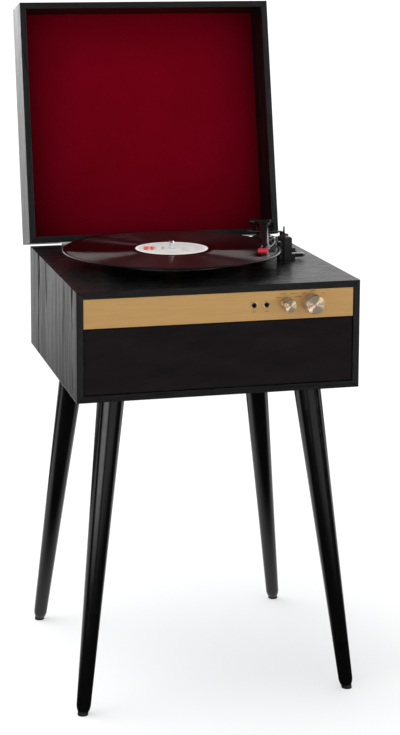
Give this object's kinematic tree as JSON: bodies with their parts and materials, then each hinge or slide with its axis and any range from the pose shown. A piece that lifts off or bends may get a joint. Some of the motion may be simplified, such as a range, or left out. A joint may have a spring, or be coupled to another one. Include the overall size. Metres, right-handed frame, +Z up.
{
  "type": "record player with stand",
  "caption": "Record player in a black wooden case with a hinged lid, gold control fascia and cloth grille, standing on splayed black legs, with a record on the platter.",
  "frame": {"origin": "middle of the bounding box's underside, on the floor, with the lid open", "axes": "+Z up, +Y towards the back, +X to the right of a person who stands in front"},
  "size_m": [0.3822, 0.5094, 0.9175],
  "materials": {
    "wrap": "satin black-ash veneer",
    "backboard": "painted board",
    "pine": "raw softwood",
    "gold": "brushed, anodised gold",
    "cloth": "woven",
    "steel": "plain",
    "black_steel": "satin black",
    "cone": "pulp paper",
    "circuit": "circuit laminate",
    "black_plastic": "moulded",
    "red_plastic": "moulded",
    "lacquer": "gloss black lacquer",
    "black_rubber": "matt",
    "brass": "turned",
    "nickel": "nickel plated",
    "red_lining": "flocked sheet",
    "felt": "felt",
    "chrome": "polished",
    "vinyl": "pressed, grooved"
  },
  "bodies": {
    "cabinet": {"cabinet_side_left": "wrap", "cabinet_side_right": "wrap", "cabinet_deck": "wrap", "cabinet_bottom": "wrap", "cabinet_back": "backboard", "corner_blocks": "pine", "front_baffle": "backboard", "front_fascia": "gold", "grille_board": "backboard", "grille_cloth": "cloth", "speaker_drivers": "steel", "speaker_cones": "cone", "control_board": "circuit", "jack_sockets": "black_plastic", "jack_rings": "gold", "selector_switch": "steel", "volume_control": "steel", "terminal_plate": "black_plastic", "rca_sockets": "steel", "dc_inlet": "black_plastic", "rear_screws": "black_steel", "front_legs": "lacquer", "rear_legs": "lacquer", "leg_plates": "steel", "leg_bolts": "steel", "leg_plate_screws": "steel", "foot_glides": "black_rubber", "hinge_leaves_cabinet": "nickel", "hinge_pins": "nickel", "hinge_screws_cabinet": "nickel", "bearing_housing": "brass", "motor": "steel", "motor_mounts": "black_rubber", "drive_belt": "black_rubber", "arm_base": "black_plastic", "arm_rest": "black_plastic"},
    "lid": {"lid_top_panel": "wrap", "lid_front_wall": "wrap", "lid_rear_wall": "wrap", "lid_side_left": "wrap", "lid_side_right": "wrap", "lid_lining": "red_lining", "lid_bumpers": "black_rubber", "hinge_leaves_lid": "nickel", "hinge_screws_lid": "nickel"},
    "platter": {"platter": "black_steel", "slipmat": "felt", "spindle": "chrome", "record": "vinyl"},
    "motor_rotor": {"motor_pulley": "brass"},
    "arm_carrier": {"arm_yoke": "black_plastic"},
    "arm": {"arm_beam": "black_plastic", "cartridge": "black_plastic", "stylus": "red_plastic"},
    "lift": {"lift_platform": "black_plastic"},
    "cue": {"cue_lever": "black_plastic"},
    "clip": {"arm_clip": "black_plastic"},
    "speed": {"speed_slider": "black_plastic"},
    "selector": {"selector_knob": "gold"},
    "volume": {"volume_knob": "gold"}
  },
  "joints": [
    {"name": "lid_hinge", "type": "hinge", "parent": "cabinet", "child": "lid", "pos_m": [0, 0.11859, 0.5675], "axis": [1, 0, 0], "range_deg": [0, 101.7]},
    {"name": "platter_spin", "type": "hinge", "parent": "cabinet", "child": "platter", "pos_m": [-0.022, -0.06381, 0.576], "axis": [0, 0, -1], "continuous": true},
    {"name": "motor_spin", "type": "hinge", "parent": "cabinet", "child": "motor_rotor", "pos_m": [-0.07857, -0.00724, 0.574], "axis": [0, 0, -1], "continuous": true},
    {"name": "arm_swing", "type": "hinge", "parent": "cabinet", "child": "arm_carrier", "pos_m": [0.156, 0.08619, 0.58], "axis": [0, 0, -1], "range_deg": [-6.3, 18.5]},
    {"name": "arm_lift", "type": "hinge", "parent": "arm_carrier", "child": "arm", "pos_m": [0.156, 0.08619, 0.594], "axis": [-0.96, 0.2798, 0], "range_deg": [0, 1.5]},
    {"name": "lift_slide", "type": "slide", "parent": "cabinet", "child": "lift", "axis": [0, 0, 1], "range_m": [0, 0.00172]},
    {"name": "cue_turn", "type": "hinge", "parent": "cabinet", "child": "cue", "pos_m": [0.1504, -0.06781, 0.571], "axis": [0, -1, 0], "range_deg": [0, 30.1]},
    {"name": "clip_turn", "type": "hinge", "parent": "cabinet", "child": "clip", "pos_m": [0.1425, -0.05021, 0.5995], "axis": [0, -1, 0], "range_deg": [0, 90]},
    {"name": "speed_slide", "type": "slide", "parent": "cabinet", "child": "speed", "axis": [0, 1, 0], "range_m": [0, 0.01]},
    {"name": "selector_turn", "type": "hinge", "parent": "cabinet", "child": "selector", "pos_m": [0.0895, -0.24621, 0.5385], "axis": [0, 1, 0], "range_deg": [0, 90]},
    {"name": "volume_turn", "type": "hinge", "parent": "cabinet", "child": "volume", "pos_m": [0.1235, -0.24621, 0.5385], "axis": [0, 1, 0], "range_deg": [-222, 78]}
  ],
  "couplings": [
    {"joint": "motor_spin", "follows": "platter_spin", "ratio": 12.6},
    {"joint": "lift_slide", "follows": "arm_lift", "m_per_rad": 0.065},
    {"joint": "cue_turn", "follows": "arm_lift", "ratio": 20}
  ]
}
